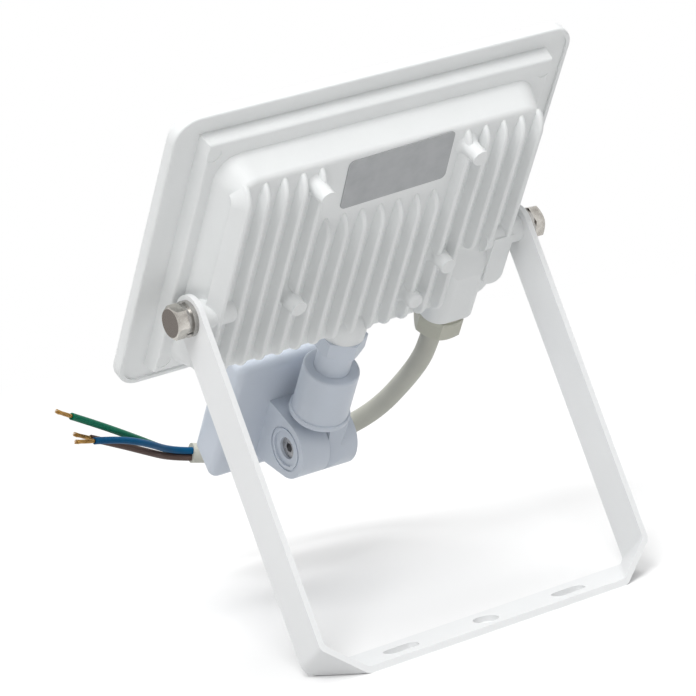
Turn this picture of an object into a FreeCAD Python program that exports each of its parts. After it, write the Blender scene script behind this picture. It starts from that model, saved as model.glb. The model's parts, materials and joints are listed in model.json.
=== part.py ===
import FreeCAD, Part
import math
import os

# Motion sensor floodlight, 20 W class, in millimetres.
# The bracket stands on its base: Z up, Y away from the finned back, X to the right seen from behind.
# The head and the sensor are drawn upright about the tilt axis and then placed at their rest angle.

# Rim of the housing
rim_width = 156.0
rim_height = 111.0
rim_depth = 4.8
rim_corner = 8.5
rim_rear_round = 0.7
rim_front_round = 1.4
lip_width = 1.7
dish_depth = 0.8
rim_rise = 16.7
axis_depth = 13.4

# Raised plateau and finned box behind the rim
plateau_side = 10.0
plateau_end = 7.2
plateau_rise = 4.7
plateau_draft = 0.7
plateau_round = 0.9
mark_dia = 5.5
mark_depth = 0.25
mark_inset_x = 3.0
mark_inset_z = 5.0
box_side = 5.0
box_end = 4.0
box_drop = 2.65
box_rise = 10.3
box_draft = 3.6
box_corner = 9.0
box_round = 2.2

# Cooling fins
fin_side_margin = 5.4
fin_pairs = 8
fin_rise = 4.0
fin_top = 1.9
fin_crest = 0.7
fin_foot = 3.6
fin_flank = 2.4
fin_upper_radius = 8.0
fin_lower_radius = 5.0
fin_lower_margin = 4.5
fin_upper_margin = 1.6
fin_bed = 0.6

# Blank silver label field on the back
label_width = 41.4
label_height = 20.0
label_thick = 0.3
label_corner = 2.0
label_x = 3.0
label_above_centre = 26.8
label_turn = -2.7
label_fin_gap = 3.3
label_side_gap = 4.2

# Screw pegs on the back
peg_dia = 5.6
peg_flare = 3.4
peg_draft = 0.15
peg_rise = 8.0
peg_x = 30.0
peg_upper = 30.1
peg_lower = -16.2
small_peg_x = 22.0
small_peg_above = -31.0
small_peg_rise = 6.6
small_peg_round = 1.4

# Walls and window at the front
floor_wall = 3.0
plateau_wall = 2.2
box_wall = 4.0
tray_side_step = 4.0
tray_end_step = 2.7
ledge_width = 3.0
glass_corner = 5.0
glass_thick = 3.0
glass_recess = 0.6
glass_gap = 0.2
gasket_thick = 1.0
gasket_width = 3.0
window_bevel = 1.0

# Light engine
board_side_gap = 5.4
board_end_gap = 2.7
board_thick = 1.6
board_corner = 3.0
led_columns = 8
led_rows = 5
led_width = 3.5
led_height = 2.8
led_thick = 0.7
led_margin = 3.0
reflector_wall = 0.8
reflector_gap = 2.0
reflector_foot_inset = 11.0
reflector_corner = 6.0
board_screw_dia = 3.0
board_screw_head_dia = 5.5
board_screw_head = 1.8
board_screw_length = 4.2
board_screw_inset = 3.4
board_screw_gap = 0.02

# Tilt pivots between head and bracket
pivot_boss_dia = 10.0
pivot_boss_root = 14.0
bolt_dia = 6.0
bolt_head_flats = 10.0
bolt_head = 4.0
bolt_head_round = 0.6
bolt_turn = -14.0
bolt_reach = 11.0
washer_dia = 12.0
washer_thick = 1.6
spring_dia = 10.2
spring_thick = 1.5
spring_split = 1.1
spring_split_turn = 205.0
spring_split_lean = 25.0
pivot_gap = 0.05
thread_gap = 0.02

# U bracket of folded strip
strip_width = 15.0
strip_thick = 2.0
head_side_gap = 1.5
arm_length = 119.7
base_lean = 20.0
far_bend = 4.6
gusset_arm = 12.0
gusset_base = 14.0
gusset_round = 1.2
slot_spacing = 68.0
slot_length = 13.0
slot_width = 5.5
centre_hole_dia = 8.5
rest_tilt = 36.2

# Cable gland
gland_inset = 18.1
gland_back = 2.9
gland_boss_width = 19.2
gland_boss_rear = 8.1
gland_boss_corner = 5.6
gland_boss_upper = -18.3
gland_boss_slope = 10.7
gland_boss_drop = 1.6
lug_inset = 3.0
lug_width = 8.0
lug_upper = -14.7
lug_lower = -35.1
lug_corner = 3.5
lug_below_fin = 0.4
gland_thread_dia = 12.0
gland_thread = 7.0
gland_collar_dia = 15.2
gland_collar = 1.3
gland_nut_flats = 15.0
gland_nut = 8.0
gland_nut_round = 1.2
gland_flange_dia = 16.6
gland_flange = 2.0
gland_flange_round = 0.7
cable_dia = 7.0
gland_seal_wall = 1.7
seal_gap = 0.02

# Swivel of the sensor
sensor_boss_dia = 15.6
sensor_boss_column = 3.0
sensor_boss_sink = 0.85
neck_x = 2.5
neck_back = 2.4
neck_dia = 12.3
neck_bore = 6.0
neck_seat = 4.0
neck_nut_flats = 15.6
neck_nut = 6.4
neck_nut_round = 0.8
neck_nut_turn = 30.0
neck_nut_relief = 0.5
neck_free = 9.5
neck_tail = 9.0
neck_flange_dia = 15.0
neck_flange = 2.0
swivel_gap = 0.05
socket_dia = 19.5
socket_length = 18.8
socket_top_round = 0.8
socket_flange_dia = 21.0
socket_flange = 2.0
socket_flange_round = 0.6
knuckle_drop = 13.7
knuckle_radius = 10.5
ear_split = 0.8
ear_gap = 0.3
left_ear = 11.5
right_ear = 11.2
right_ear_root = 19.2
ear_facet_turn = 19.0
ear_facet_lean = 8.5
ear_facet_depth = 1.9
ear_groove_dia = 16.0
ear_groove_width = 0.7
ear_groove_depth = 0.5
ear_step_dia = 12.4
ear_step = 0.8
knuckle_screw_dia = 5.0
knuckle_head_dia = 7.6
knuckle_head = 3.2
knuckle_head_sink = 1.8
knuckle_hex = 3.0
knuckle_hex_depth = 2.0
knuckle_nut_flats = 8.0
knuckle_nut = 3.2
knuckle_nut_sink = 1.0
nut_gap = 0.05

# Sensor housing
sensor_left = 27.0
sensor_right = 21.0
sensor_top = 29.4
sensor_rear_low = 23.6
sensor_front_low = 16.6
sensor_depth = 14.0
sensor_rear = 13.4
sensor_round = 3.0
sensor_split = 4.6
sensor_wall = 2.0
ear_low = 15.0
window_width = 36.0
window_height = 30.0
window_corner = 6.0
window_rise = 7.0
lens_bulge = 5.0
lens_wall = 1.0
lens_seat = 1.5
lens_gap = 0.05
sensor_board_thick = 1.2
sensor_board_gap = 0.3
post_dia = 4.0
post_length = 2.2
post_inset = 6.0
pir_dia = 9.2
pir_height = 4.2
pir_base_dia = 10.4
pir_base = 0.6
relay_width = 13.0
relay_depth = 5.0
relay_height = 7.0
relay_x = -15.0
relay_z = 20.0
knob_dia = 6.4
knob_height = 2.4
knob_proud = 0.5
knob_gap = 0.1
knob_pitch = 11.0
knob_middle = -3.0
knob_forward = 9.2
knob_stem_dia = 2.4
knob_stem = 3.0
knob_slot = 1.0
knob_slot_depth = 0.9

# Mains cable, laid free from the gland, drawn with the head
core_dia = 2.5
core_offset = 1.55
copper_dia = 1.5
copper_length = 9.0
core_straight = 8.0
cable_lean = 1.0
bend_share = 0.45

# Widths and heights of the housing, each inside the one before
plateau_width = rim_width - 2 * plateau_side
plateau_height = rim_height - 2 * plateau_end
box_width = plateau_width - 2 * box_side
box_height = plateau_height - 2 * box_end
hollow_width = box_width - 2 * box_wall
hollow_height = box_height - 2 * box_wall
tray_width = hollow_width + 2 * tray_side_step
tray_height = hollow_height + 2 * tray_end_step
glass_width = tray_width + 2 * ledge_width
glass_height = tray_height + 2 * ledge_width
board_width = hollow_width - 2 * box_draft - 2 * board_side_gap
board_height = hollow_height - 2 * box_draft - 2 * board_end_gap
foot_width = board_width - 2 * reflector_foot_inset
foot_height = board_height - 2 * reflector_foot_inset
fin_pitch = (box_width / 2 - fin_side_margin) / fin_pairs
pivot_boss_inner = box_width / 2 - pivot_boss_root
gland_x = box_width / 2 - gland_inset
lug_outer = box_width / 2 - lug_inset

# Levels along the depth of the head, measured from the tilt axis, forward positive
rim_rear = axis_depth
rim_front = rim_rear + rim_depth
dish_floor = rim_rear + dish_depth
plateau_face = rim_rear - plateau_rise
back_face = plateau_face - box_rise
fin_face = back_face - fin_rise
ledge_face = rim_front - glass_recess - glass_thick - gasket_thick
tray_floor = plateau_face + plateau_wall
floor_face = back_face + floor_wall
board_face = floor_face + board_thick

# Heights on the head, measured from the tilt axis
box_centre = rim_rise - box_drop
box_low = box_centre - box_height / 2
fin_low = box_low + fin_lower_margin
fin_high = box_centre + box_height / 2 - box_draft - fin_upper_margin
boss_end = box_low + sensor_boss_sink
neck_nut_end = boss_end - neck_nut
socket_top = neck_nut_end - neck_free
socket_end = socket_top - socket_length
knuckle_height = socket_end - socket_flange - knuckle_drop
gland_end = box_low - gland_boss_drop
shoulder_high = rim_rise + gland_boss_upper
gland_exit = gland_end - gland_collar - gland_nut

# Half widths of the bracket
arm_inner = box_width / 2 + head_side_gap
arm_outer = arm_inner + strip_thick
bracket_reach = arm_outer + strip_thick

# Place of the tilt axis above the middle of the bracket's base
lean = math.radians(base_lean)
near_drop = strip_width * math.tan(lean)
base_thick = strip_thick / math.cos(lean)
axis_reach = arm_length + near_drop / 2
axis_y = axis_reach * math.sin(lean)
axis_z = axis_reach * math.cos(lean)

X_AXIS = FreeCAD.Vector(1, 0, 0)
Y_AXIS = FreeCAD.Vector(0, 1, 0)
Z_AXIS = FreeCAD.Vector(0, 0, 1)


def point(x, y, z):
    return FreeCAD.Vector(x, y, z)


def block(x_range, y_range, z_range):
    size = [high - low for low, high in (x_range, y_range, z_range)]
    return Part.makeBox(*size, point(x_range[0], y_range[0], z_range[0]))


def rod(diameter, start, direction, length):
    return Part.makeCylinder(diameter / 2, length, start, direction)


def ring(outer, inner, start, direction, length):
    return rod(outer, start, direction, length).cut(rod(inner, start, direction, length))


def hexagon(flats, start, direction, length, turn=0):
    corner = flats / math.sqrt(3)
    side = X_AXIS if abs(direction.dot(X_AXIS)) < 0.5 else Z_AXIS
    other = direction.cross(side)
    turns = [math.radians(turn + 60 * count) for count in range(7)]
    points = [start + side * (corner * math.cos(a)) + other * (corner * math.sin(a)) for a in turns]
    return Part.Face(Part.makePolygon(points)).extrude(direction * length)


def domed_hexagon(flats, start, direction, length, rounding, turn=0):
    """Hexagon whose far corners are turned off by a cone."""
    corner = flats / math.sqrt(3)
    narrow = flats / 2 - rounding / 2
    body = hexagon(flats, start, direction, length, turn)
    straight = rod(2 * corner, start, direction, length - rounding)
    cone = Part.makeCone(corner, narrow, rounding, start + direction * (length - rounding), direction)
    return body.common(straight.fuse(cone))


def rounded_outline(width, height, corner, level, middle_x, middle_z):
    """Closed rounded rectangle across the depth axis, at one level."""
    left, right = middle_x - width / 2, middle_x + width / 2
    low, high = middle_z - height / 2, middle_z + height / 2
    slack = corner * (1 - math.sqrt(0.5))
    edges = []
    corners = [
        ((left + corner, high), (right - corner, high), (right - slack, high - slack), (right, high - corner)),
        ((right, high - corner), (right, low + corner), (right - slack, low + slack), (right - corner, low)),
        ((right - corner, low), (left + corner, low), (left + slack, low + slack), (left, low + corner)),
        ((left, low + corner), (left, high - corner), (left + slack, high - slack), (left + corner, high)),
    ]
    for start, end, middle, after in corners:
        spots = [point(x, level, z) for x, z in (start, end, middle, after)]
        edges.append(Part.LineSegment(spots[0], spots[1]).toShape())
        edges.append(Part.Arc(spots[1], spots[2], spots[3]).toShape())
    return Part.Wire(edges)


def rounded_slab(width, height, corner, levels, middle_x, middle_z):
    outline = rounded_outline(width, height, corner, levels[0], middle_x, middle_z)
    return Part.Face(outline).extrude(point(0, levels[1] - levels[0], 0))


def sharp_outline(width, height, level, middle_z):
    x, z = width / 2, height / 2
    corners = [(-x, z), (x, z), (x, -z), (-x, -z), (-x, z)]
    return Part.makePolygon([point(a, level, middle_z + b) for a, b in corners])


def edges_where(shape, test):
    return [edge for edge in shape.Edges if test(edge.BoundBox)]


def flat_at(level):
    """Test for edges that lie across the depth axis at one level."""
    return lambda box: abs(box.YMin - level) < 0.01 and abs(box.YMax - level) < 0.01


def side_profile(x_range, spots):
    """Closed outline in depth and height, from line and arc spots, drawn out along X."""
    edges = []
    for spot in spots:
        places = [point(x_range[0], y, z) for y, z in spot]
        if len(places) == 2:
            edges.append(Part.LineSegment(*places).toShape())
        else:
            edges.append(Part.Arc(*places).toShape())
    return Part.Face(Part.Wire(edges)).extrude(point(x_range[1] - x_range[0], 0, 0))


def rounded_turn(before, corner, after, reach):
    """Start, middle and end of the arc that rounds a corner off, and its radius."""
    back, ahead = before - corner, after - corner
    back.normalize()
    ahead.normalize()
    half_turn = (math.pi - back.getAngle(ahead)) / 2
    radius = reach / math.tan(half_turn)
    inward = back + ahead
    inward.normalize()
    middle = corner + inward * (radius / math.cos(half_turn) - radius)
    return corner + back * reach, middle, corner + ahead * reach, radius


def fuse_all(shapes):
    body = shapes[0].multiFuse(shapes[1:]) if len(shapes) > 1 else shapes[0]
    return body.removeSplitter()


def on_head(shape):
    """Head drawn upright to its rest angle on the bracket."""
    placed = shape.copy()
    placed.rotate(point(0, 0, 0), X_AXIS, rest_tilt)
    placed.translate(point(0, axis_y, axis_z))
    return placed


def on_neck(shape):
    """Sensor pieces drawn about the neck's axis, moved to the neck on the head."""
    placed = shape.copy()
    placed.translate(point(neck_x, neck_back, 0))
    return placed


def on_bracket(shape):
    """Bracket drawn along its arms to its place on the base."""
    placed = shape.copy()
    placed.rotate(point(0, 0, 0), X_AXIS, 90 - base_lean)
    placed.translate(point(0, axis_y, axis_z))
    return placed


def save(name, shape):
    shape.exportStep("parts/" + name + ".step")
    print(name, "solids", len(shape.Solids), "volume", round(shape.Volume, 1), "valid", shape.isValid())


# Housing of the head

def rim_slab():
    rim = rounded_slab(rim_width, rim_height, rim_corner, (rim_rear, rim_front), 0, rim_rise)
    rim = rim.makeFillet(rim_front_round, edges_where(rim, flat_at(rim_front)))
    rim = rim.makeFillet(rim_rear_round, edges_where(rim, flat_at(rim_rear)))
    dish_width, dish_height = rim_width - 2 * lip_width, rim_height - 2 * lip_width
    dish_corner = rim_corner - lip_width
    dish = rounded_slab(dish_width, dish_height, dish_corner, (rim_rear, dish_floor), 0, rim_rise)
    return rim.cut(dish)


def plateau():
    foot = sharp_outline(plateau_width, plateau_height, dish_floor, rim_rise)
    top = sharp_outline(plateau_width - 2 * plateau_draft, plateau_height - 2 * plateau_draft,
                        plateau_face, rim_rise)
    body = Part.makeLoft([foot, top], True, True)
    body = body.makeFillet(plateau_round, edges_where(body, flat_at(plateau_face)))
    for side in (-1, 1):
        for end in (-1, 1):
            x = side * (plateau_width / 2 - mark_inset_x)
            z = rim_rise + end * (plateau_height / 2 - mark_inset_z)
            body = body.cut(rod(mark_dia, point(x, plateau_face, z), Y_AXIS, mark_depth))
    return body


def finned_box():
    foot = rounded_outline(box_width, box_height, box_corner, plateau_face, 0, box_centre)
    top_width, top_height = box_width - 2 * box_draft, box_height - 2 * box_draft
    top = rounded_outline(top_width, top_height, box_corner - box_draft / 2, back_face, 0, box_centre)
    body = Part.makeLoft([foot, top], True, True)
    return body.makeFillet(box_round, edges_where(body, flat_at(back_face)))


def fin_section(middle_x, left_flank, right_flank, height):
    """Section of a fin across its length, with a round crest."""
    crest, foot, bed = fin_top / 2, fin_foot / 2, back_face + fin_bed
    spots = [(-foot - left_flank, bed), (-crest, fin_face + fin_crest), (crest, fin_face + fin_crest),
             (foot + right_flank, bed)]
    places = [point(middle_x + x, y, height) for x, y in spots]
    edges = [
        Part.LineSegment(places[0], places[1]).toShape(),
        Part.Arc(places[1], point(middle_x, fin_face, height), places[2]).toShape(),
        Part.LineSegment(places[2], places[3]).toShape(),
        Part.LineSegment(places[3], places[0]).toShape(),
    ]
    return Part.Face(Part.Wire(edges))


def dive(radius):
    """Length over which a fin that bends down at this radius reaches the back face."""
    return math.sqrt(radius * radius - (radius - fin_rise) ** 2)


def fin(middle_x, left_flank, right_flank, high, low):
    """Drafted fin from low to high that bends down into the back at both ends."""
    straight_high, straight_low = high - dive(fin_upper_radius), low + dive(fin_lower_radius)
    section = fin_section(middle_x, left_flank, right_flank, straight_low)
    bodies = [section.extrude(point(0, 0, straight_high - straight_low))]
    for height, radius, way in ((straight_high, fin_upper_radius, -1), (straight_low, fin_lower_radius, 1)):
        end = fin_section(middle_x, left_flank, right_flank, height)
        turn = math.degrees(math.acos((radius - fin_rise - fin_bed) / radius))
        bodies.append(end.revolve(point(middle_x, fin_face + radius, height), X_AXIS, way * turn))
    return bodies


def fins():
    label_low = rim_rise + label_above_centre - label_height / 2 - label_fin_gap
    boss_left = gland_x - gland_boss_width / 2 + gland_boss_corner / 2
    bodies = []
    for count in range(-fin_pairs, fin_pairs + 1):
        x = count * fin_pitch
        under_label = abs(x - label_x) < label_width / 2 + label_side_gap
        high = label_low if under_label else fin_high
        low = shoulder_high if x > boss_left else fin_low
        left_flank = fin_flank if count == -fin_pairs else 0
        right_flank = fin_flank if count == fin_pairs else 0
        bodies += fin(x, left_flank, right_flank, high, low)
    return bodies


def peg(x, above, rise):
    """Round peg with a flared foot and a little draft."""
    radius, bed = peg_dia / 2, back_face + fin_bed
    tip = back_face - rise
    bend = peg_flare * (1 - math.sqrt(0.5))
    foot = radius + peg_draft + peg_flare
    spots = [(0, bed), (foot, bed), (foot - peg_flare + bend, bed - bend), (foot - peg_flare, bed - peg_flare),
             (radius, tip), (0, tip)]
    places = [point(x + away, y, rim_rise + above) for away, y in spots]
    edges = [
        Part.LineSegment(places[0], places[1]).toShape(),
        Part.Arc(places[1], places[2], places[3]).toShape(),
        Part.LineSegment(places[3], places[4]).toShape(),
        Part.LineSegment(places[4], places[5]).toShape(),
        Part.LineSegment(places[5], places[0]).toShape(),
    ]
    return Part.Face(Part.Wire(edges)).revolve(places[0], Y_AXIS, 360)


def pegs():
    bodies = [peg(side * peg_x, above, peg_rise) for side in (-1, 1) for above in (peg_upper, peg_lower)]
    small = peg(small_peg_x, small_peg_above, small_peg_rise)
    small = small.makeFillet(small_peg_round, edges_where(small, flat_at(back_face - small_peg_rise)))
    return bodies + [small]


def pivot_bosses():
    length = arm_inner - pivot_boss_inner
    return [rod(pivot_boss_dia, point(side * pivot_boss_inner, 0, 0), X_AXIS * side, length) for side in (-1, 1)]


def sensor_boss():
    foot = point(neck_x, neck_back, boss_end)
    column = rod(sensor_boss_dia, foot, Z_AXIS, sensor_boss_column)
    return column.fuse(Part.makeSphere(sensor_boss_dia / 2, foot + Z_AXIS * sensor_boss_column))


def nut_relief():
    """Room round the neck's nut, below the sensor boss."""
    corners = 2 * neck_nut_flats / math.sqrt(3)
    return rod(corners + 2 * neck_nut_relief, point(neck_x, neck_back, boss_end - neck_nut), Z_AXIS, neck_nut)


def upright_corners(body, level):
    return [edge for edge in body.Edges if edge.BoundBox.ZLength > 1 and edge.BoundBox.YMax < level]


def gland_boss():
    """Boss with rounded corners along the height axis, with a long slope up to the back at its upper end."""
    half, rear = gland_boss_width / 2, gland_back - gland_boss_rear
    body = block((gland_x - half, gland_x + half), (rear, plateau_face), (gland_end, shoulder_high))
    body = body.makeFillet(gland_boss_corner, upright_corners(body, gland_back))
    wedge = side_profile((gland_x - gland_boss_width, gland_x + gland_boss_width), [
        ((back_face, shoulder_high), (rear, shoulder_high - gland_boss_slope)),
        ((rear, shoulder_high - gland_boss_slope), (rear - gland_boss_rear, shoulder_high - gland_boss_slope)),
        ((rear - gland_boss_rear, shoulder_high - gland_boss_slope), (rear - gland_boss_rear, shoulder_high)),
        ((rear - gland_boss_rear, shoulder_high), (back_face, shoulder_high)),
    ])
    return body.cut(wedge)


def lug():
    """Flat pad beside the gland boss, a little below the crests of the fins, with rounded lower corners."""
    low, high = rim_rise + lug_lower, rim_rise + lug_upper
    pad = block((lug_outer - lug_width, lug_outer), (fin_face + lug_below_fin, plateau_face), (low, high))
    corners = [edge for edge in pad.Edges if edge.BoundBox.YLength > 1 and edge.BoundBox.ZMax < low + lug_corner]
    return pad.makeFillet(lug_corner, corners)


def housing_hollow():
    window = rounded_slab(glass_width + 2 * glass_gap, glass_height + 2 * glass_gap, glass_corner + glass_gap,
                          (ledge_face, rim_front), 0, rim_rise)
    bevel_mouth = rounded_outline(glass_width + 2 * glass_gap + 2 * window_bevel,
                                  glass_height + 2 * glass_gap + 2 * window_bevel,
                                  glass_corner + window_bevel, rim_front, 0, rim_rise)
    bevel_foot = rounded_outline(glass_width + 2 * glass_gap, glass_height + 2 * glass_gap, glass_corner,
                                 rim_front - window_bevel, 0, rim_rise)
    bevel = Part.makeLoft([bevel_foot, bevel_mouth], True, True)
    tray = rounded_slab(tray_width, tray_height, glass_corner, (tray_floor, ledge_face), 0, rim_rise)
    mouth = rounded_outline(hollow_width, hollow_height, box_corner - box_wall / 2, tray_floor, 0, box_centre)
    bottom = rounded_outline(hollow_width - 2 * box_draft, hollow_height - 2 * box_draft,
                             box_corner - box_wall / 2 - box_draft / 2, floor_face, 0, box_centre)
    return [window, bevel, tray, Part.makeLoft([mouth, bottom], True, True)]


def board_screw_spots():
    x, z = board_width / 2 - board_screw_inset, board_height / 2 - board_screw_inset
    return [(side * x, box_centre + end * z) for side in (-1, 1) for end in (-1, 1)]


def housing_holes():
    holes = []
    for side in (-1, 1):
        end = arm_outer + washer_thick + spring_thick
        start = point(side * (end - bolt_reach - pivot_gap), 0, 0)
        holes.append(rod(bolt_dia + 2 * thread_gap, start, X_AXIS * side, bolt_reach))
    holes.append(rod(neck_dia + 2 * thread_gap, point(neck_x, neck_back, boss_end), Z_AXIS, neck_seat))
    holes.append(rod(neck_bore, point(neck_x, neck_back, boss_end + neck_seat), Z_AXIS, neck_seat))
    holes.append(nut_relief())
    holes.append(rod(gland_thread_dia + 2 * thread_gap, point(gland_x, gland_back, gland_end), Z_AXIS, gland_thread))
    passage = point(gland_x, floor_face + cable_dia / 2, gland_end + gland_thread)
    holes.append(rod(cable_dia, passage, Z_AXIS, gland_thread + box_wall))
    for x, z in board_screw_spots():
        depth = board_screw_length - board_thick
        holes.append(rod(board_screw_dia + 2 * board_screw_gap, point(x, floor_face - depth, z), Y_AXIS, depth))
    return holes


def rear_housing():
    outer = fuse_all([rim_slab(), plateau(), finned_box()] + fins() + pegs() + pivot_bosses()
                     + [sensor_boss(), gland_boss(), lug()])
    return outer.cut(housing_hollow()).cut(housing_holes()).removeSplitter()


# Window and light engine

def front_glass():
    face = rim_front - glass_recess
    return rounded_slab(glass_width, glass_height, glass_corner, (face - glass_thick, face), 0, rim_rise)


def glass_gasket():
    levels = (ledge_face, ledge_face + gasket_thick)
    outer = rounded_slab(glass_width, glass_height, glass_corner, levels, 0, rim_rise)
    inner = rounded_slab(glass_width - 2 * gasket_width, glass_height - 2 * gasket_width, glass_corner,
                         levels, 0, rim_rise)
    return outer.cut(inner)


def reflector():
    """Sloped white tray that hangs by its flange on the step of the housing and ends on the board."""
    levels = (tray_floor, tray_floor + reflector_wall)
    flange = rounded_slab(tray_width - 2 * glass_gap, tray_height - 2 * glass_gap, glass_corner, levels, 0, rim_rise)
    sizes = [(hollow_width - 2 * reflector_gap, hollow_height - 2 * reflector_gap, levels[1]),
             (foot_width, foot_height, board_face)]
    inner = [rounded_outline(w, h, reflector_corner, level, 0, box_centre) for w, h, level in sizes]
    outer = [rounded_outline(w + 2 * reflector_wall, h + 2 * reflector_wall, reflector_corner, level, 0, box_centre)
             for w, h, level in sizes]
    tray = flange.fuse(Part.makeLoft(outer, True, True))
    return tray.cut(Part.makeLoft(inner, True, True)).removeSplitter()


def led_board():
    board = rounded_slab(board_width, board_height, board_corner, (floor_face, board_face), 0, box_centre)
    holes = [rod(board_screw_dia + 2 * board_screw_gap, point(x, floor_face, z), Y_AXIS, board_thick)
             for x, z in board_screw_spots()]
    return board.cut(holes)


def leds():
    chips = []
    pitch_x = (foot_width - 2 * led_margin - led_width) / (led_columns - 1)
    pitch_z = (foot_height - 2 * led_margin - led_height) / (led_rows - 1)
    for column in range(led_columns):
        for row in range(led_rows):
            x = (column - (led_columns - 1) / 2) * pitch_x
            z = box_centre + (row - (led_rows - 1) / 2) * pitch_z
            chips.append(block((x - led_width / 2, x + led_width / 2), (board_face, board_face + led_thick),
                               (z - led_height / 2, z + led_height / 2)))
    return Part.makeCompound(chips)


def board_screws():
    screws = []
    for x, z in board_screw_spots():
        depth = board_screw_length - board_thick
        shank = rod(board_screw_dia, point(x, floor_face - depth, z), Y_AXIS, board_screw_length)
        head = rod(board_screw_head_dia, point(x, board_face, z), Y_AXIS, board_screw_head)
        screws.append(shank.fuse(head).removeSplitter())
    return Part.makeCompound(screws)


def label_plate():
    level = back_face - label_thick
    middle = rim_rise + label_above_centre
    plate = rounded_slab(label_width, label_height, label_corner, (level, back_face), label_x, middle)
    plate.rotate(point(label_x, level, middle), Y_AXIS, label_turn)
    return plate


# Tilt pivots and bracket

def pivot_bolts():
    bolts = []
    for side in (-1, 1):
        out = X_AXIS * side
        seat = arm_outer + washer_thick + spring_thick
        shank = rod(bolt_dia, point(side * (seat - bolt_reach), 0, 0), out, bolt_reach)
        head = domed_hexagon(bolt_head_flats, point(side * seat, 0, 0), out, bolt_head, bolt_head_round, bolt_turn)
        bolts.append(shank.fuse(head).removeSplitter())
    return Part.makeCompound(bolts)


def flat_washers():
    inner = bolt_dia + 2 * pivot_gap
    return Part.makeCompound([ring(washer_dia, inner, point(side * arm_outer, 0, 0), X_AXIS * side, washer_thick)
                              for side in (-1, 1)])


def spring_washers():
    """Spring washers with a leaning split."""
    rings = []
    for side in (-1, 1):
        start = side * (arm_outer + washer_thick)
        body = ring(spring_dia, bolt_dia + 2 * pivot_gap, point(start, 0, 0), X_AXIS * side, spring_thick)
        split = block((-spring_thick, spring_thick), (0, spring_dia), (-spring_split / 2, spring_split / 2))
        split.rotate(point(0, 0, 0), Y_AXIS, spring_split_lean)
        split.translate(point(start + side * spring_thick / 2, 0, 0))
        split.rotate(point(0, 0, 0), X_AXIS, spring_split_turn)
        rings.append(body.cut(split))
    return Part.makeCompound(rings)


def inner_cut():
    """Size of the cut corner on the inner side of the strip, so that the gusset keeps the strip's thickness."""
    spread = math.hypot(1 / gusset_arm, 1 / gusset_base)
    arm = gusset_arm * (1 + strip_thick * spread - strip_thick / gusset_base) - base_thick
    base = gusset_base * (1 + strip_thick * spread - base_thick / gusset_arm) - strip_thick
    return arm, base


def round_corner(level, half, base, radius):
    """Three arcs from the base up into the arm."""
    spots = []
    for count in range(7):
        angle = math.radians(15 * count)
        spots.append(point(half - radius + radius * math.sin(angle), base + radius - radius * math.cos(angle), level))
    return [Part.Arc(*spots[first:first + 3]).toShape() for first in (0, 2, 4)]


def cut_corner(level, half, base, arm, inset):
    """Arc, line and arc from the base up into the arm."""
    lower, upper = point(half - inset, base, level), point(half, base + arm, level)
    first = rounded_turn(lower - X_AXIS, lower, upper, gusset_round)
    last = rounded_turn(lower, upper, upper + Y_AXIS, gusset_round)
    line = Part.LineSegment(first[2], last[0]).toShape()
    return [Part.Arc(*first[:3]).toShape(), line, Part.Arc(*last[:3]).toShape()]


def half_outline(level, drop, far):
    """Right half of the U at one edge of the strip, as edges in order from the middle of the base."""
    base_out = -(arm_length + drop)
    base_in = base_out + base_thick
    top = strip_width / 2
    if far:
        outer = round_corner(level, arm_outer, base_out, far_bend)
        inner = round_corner(level, arm_inner, base_in, far_bend - strip_thick)
    else:
        outer = cut_corner(level, arm_outer, base_out, gusset_arm, gusset_base)
        inner = cut_corner(level, arm_inner, base_in, *inner_cut())
    spots = [point(0, base_out, level), point(arm_outer, top, level), point(arm_inner, top, level),
             point(0, base_in, level)]

    def line(first, last):
        return Part.LineSegment(first, last).toShape()

    ends = [outer[0].Vertexes[0].Point, outer[-1].Vertexes[-1].Point,
            inner[-1].Vertexes[-1].Point, inner[0].Vertexes[0].Point]
    return ([line(spots[0], ends[0])] + outer + [line(ends[1], spots[1]), line(spots[1], spots[2])]
            + [line(spots[2], ends[2])] + inner[::-1] + [line(ends[3], spots[3]), line(spots[3], spots[0])])


def between(first, last):
    """Face between matching edges of the two outlines, flat where both are straight."""
    if len(first.Vertexes) == 2 and "Line" in first.Curve.TypeId and "Line" in last.Curve.TypeId:
        a, b = [vertex.Point for vertex in first.Vertexes], [vertex.Point for vertex in last.Vertexes]
        return Part.Face(Part.makePolygon([a[0], a[1], b[1], b[0], a[0]]))
    return Part.makeRuledSurface(first, last)


def folded_strip():
    far, near = half_outline(-strip_width / 2, 0, True), half_outline(strip_width / 2, near_drop, False)
    faces = [Part.Face(Part.Wire(far)), Part.Face(Part.Wire(near))]
    faces += [between(first, last) for first, last in zip(far, near)]
    shell = Part.makeShell(faces)
    shell.sewShape()
    right = Part.makeSolid(shell)
    if right.Volume < 0:
        right.reverse()
    left = right.mirror(point(0, 0, 0), X_AXIS)
    return fuse_all([right, left])


def slot(middle_x):
    """Slot through the base, drawn where the base lies."""
    half = (slot_length - slot_width) / 2
    depth = 2 * strip_thick
    ends = [rod(slot_width, point(middle_x + side * half, 0, -strip_thick / 2), Z_AXIS, depth) for side in (-1, 1)]
    middle = block((middle_x - half, middle_x + half), (-slot_width / 2, slot_width / 2),
                   (-strip_thick / 2, depth - strip_thick / 2))
    return fuse_all(ends + [middle])


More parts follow.
